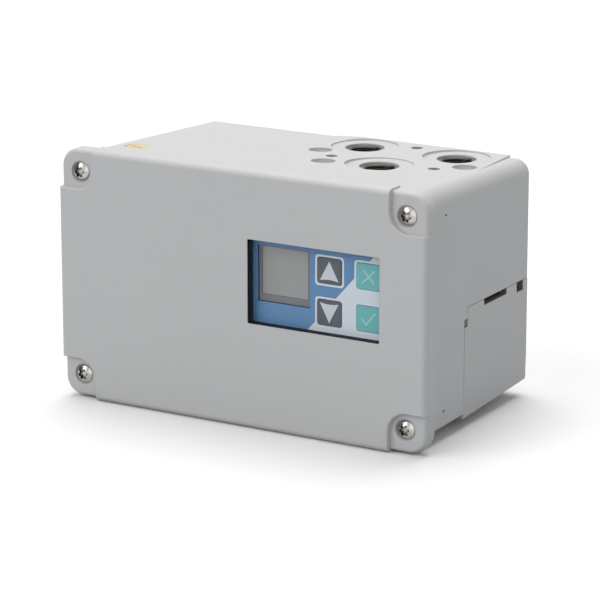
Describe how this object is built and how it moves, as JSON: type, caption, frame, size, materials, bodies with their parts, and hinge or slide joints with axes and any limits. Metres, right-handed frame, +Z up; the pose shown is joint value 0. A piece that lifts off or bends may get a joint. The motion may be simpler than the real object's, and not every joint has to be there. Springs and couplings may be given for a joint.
{
  "type": "valve positioner",
  "caption": "Box-shaped electropneumatic valve positioner with a screwed front cover, a window over display and keys, threaded air ports on top and a rear feedback shaft.",
  "frame": {"origin": "middle of the bounding box at its lowest level", "axes": "+X to the right seen from the front, +Y from the cover to the back, +Z up"},
  "size_m": [0.166, 0.11, 0.102],
  "materials": {
    "housing": "fine moulded grain, light grey",
    "seal": "matt black",
    "stainless": "polished stainless",
    "clear_pane": "clear, glossy",
    "panel": "dark grey",
    "film": "printed blue and white",
    "bezel": "grey",
    "display": "grey liquid crystal",
    "dark_key": "dark grey with a light symbol",
    "teal_key": "teal with a light symbol",
    "board": "green solder mask",
    "brass": "machined",
    "terminal": "green",
    "black_plastic": "black",
    "manifold": "machined",
    "gear": "natural acetal",
    "yellow": "yellow",
    "sensor": "blue",
    "silencer": "porous, sintered"
  },
  "bodies": {
    "housing": {"base_housing": "housing", "front_cover": "housing", "exhaust_cover": "housing", "cover_gasket": "seal", "manifold_gasket": "seal", "shaft_seal": "seal", "plug_seal": "seal", "window_seal": "seal", "cover_screws": "stainless", "board_screws": "stainless", "terminal_screws": "stainless", "manifold_screws": "stainless", "bracket_screws": "stainless", "earth_screw": "stainless", "potentiometer_bracket": "stainless", "key_domes": "stainless", "window_pane": "clear_pane", "keypad_panel": "panel", "keypad_film": "film", "display_module": "bezel", "display_glass": "display", "main_board": "board", "board_standoffs": "brass", "port_inserts": "brass", "shaft_bush": "brass", "mount_inserts": "brass", "terminal_strip": "terminal", "electronics_cover": "black_plastic", "pilot_valves": "black_plastic", "cable_plug": "black_plastic", "manifold_block": "manifold", "marker_plug": "yellow", "potentiometer": "sensor", "silencer": "silencer"},
    "key_up_cap": {"key_up": "dark_key"},
    "key_down_cap": {"key_down": "dark_key"},
    "key_back_cap": {"key_back": "teal_key"},
    "key_enter_cap": {"key_enter": "teal_key"},
    "shaft": {"feedback_shaft": "stainless", "shaft_gear": "gear", "clutch_wheel": "yellow", "retaining_ring": "stainless"},
    "sensor_pinion": {"potentiometer_pinion": "gear"}
  },
  "joints": [
    {"name": "key_up_press", "type": "slide", "parent": "housing", "child": "key_up_cap", "axis": [0, 1, 0], "range_m": [0, 0.0006], "stiffness_N_per_m": 3000, "springref_m": -0.0003},
    {"name": "key_down_press", "type": "slide", "parent": "housing", "child": "key_down_cap", "axis": [0, 1, 0], "range_m": [0, 0.0006], "stiffness_N_per_m": 3000, "springref_m": -0.0003},
    {"name": "key_back_press", "type": "slide", "parent": "housing", "child": "key_back_cap", "axis": [0, 1, 0], "range_m": [0, 0.0006], "stiffness_N_per_m": 3000, "springref_m": -0.0003},
    {"name": "key_enter_press", "type": "slide", "parent": "housing", "child": "key_enter_cap", "axis": [0, 1, 0], "range_m": [0, 0.0006], "stiffness_N_per_m": 3000, "springref_m": -0.0003},
    {"name": "shaft_turn", "type": "hinge", "parent": "housing", "child": "shaft", "pos_m": [-0.036, 0.043, 0.051], "axis": [0, 1, 0], "range_deg": [-50, 50]},
    {"name": "pinion_turn", "type": "hinge", "parent": "housing", "child": "sensor_pinion", "pos_m": [-0.036, 0.028, 0.02848], "axis": [0, 1, 0], "range_deg": [-126, 126]}
  ],
  "couplings": [
    {"joint": "pinion_turn", "follows": "shaft_turn", "ratio": -2.5}
  ]
}
